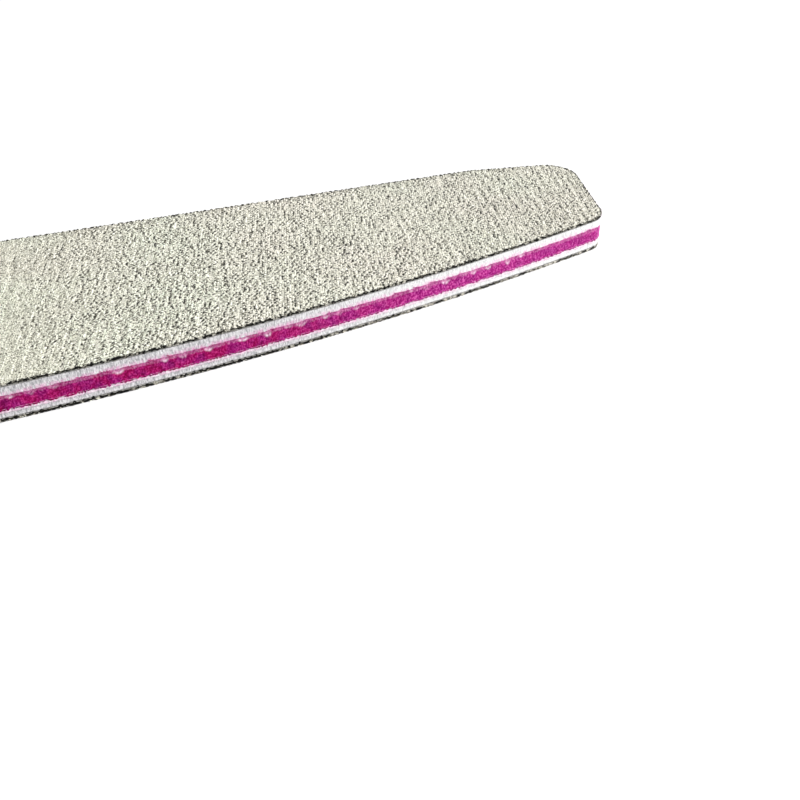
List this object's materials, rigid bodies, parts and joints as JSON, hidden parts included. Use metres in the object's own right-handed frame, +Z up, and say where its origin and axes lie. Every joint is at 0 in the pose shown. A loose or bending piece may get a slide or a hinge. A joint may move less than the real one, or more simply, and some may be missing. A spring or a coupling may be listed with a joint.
{
  "type": "emery board",
  "caption": "Half-moon nail board: a flat laminate with grit on both faces, white foam layers and a stiff magenta core, one long edge straight and the other a shallow arc.",
  "frame": {"origin": "middle of the underside, on the surface that the board lies on", "axes": "+X along the board, +Y towards the straight long edge, +Z up through the layers"},
  "size_m": [0.178, 0.029, 0.004],
  "materials": {
    "grit": "rough, sharp dark grains under a whitish dry coat",
    "backing_paper": "matte cut edge, darkened by grit dust",
    "tape_film": "matte",
    "white_foam": "matte, fine closed cells on the cut edge",
    "bond_film": "matte, tinted by the core",
    "magenta_core": "satin cut edge with small bright smears"
  },
  "bodies": {
    "root": {"bottom_grit_coat": "grit", "bottom_backing_paper": "backing_paper", "bottom_tape_film": "tape_film", "lower_foam_layer": "white_foam", "lower_bond_film": "bond_film", "coloured_core": "magenta_core", "upper_bond_film": "bond_film", "upper_foam_layer": "white_foam", "top_tape_film": "tape_film", "top_backing_paper": "backing_paper", "top_grit_coat": "grit"}
  },
  "joints": []
}
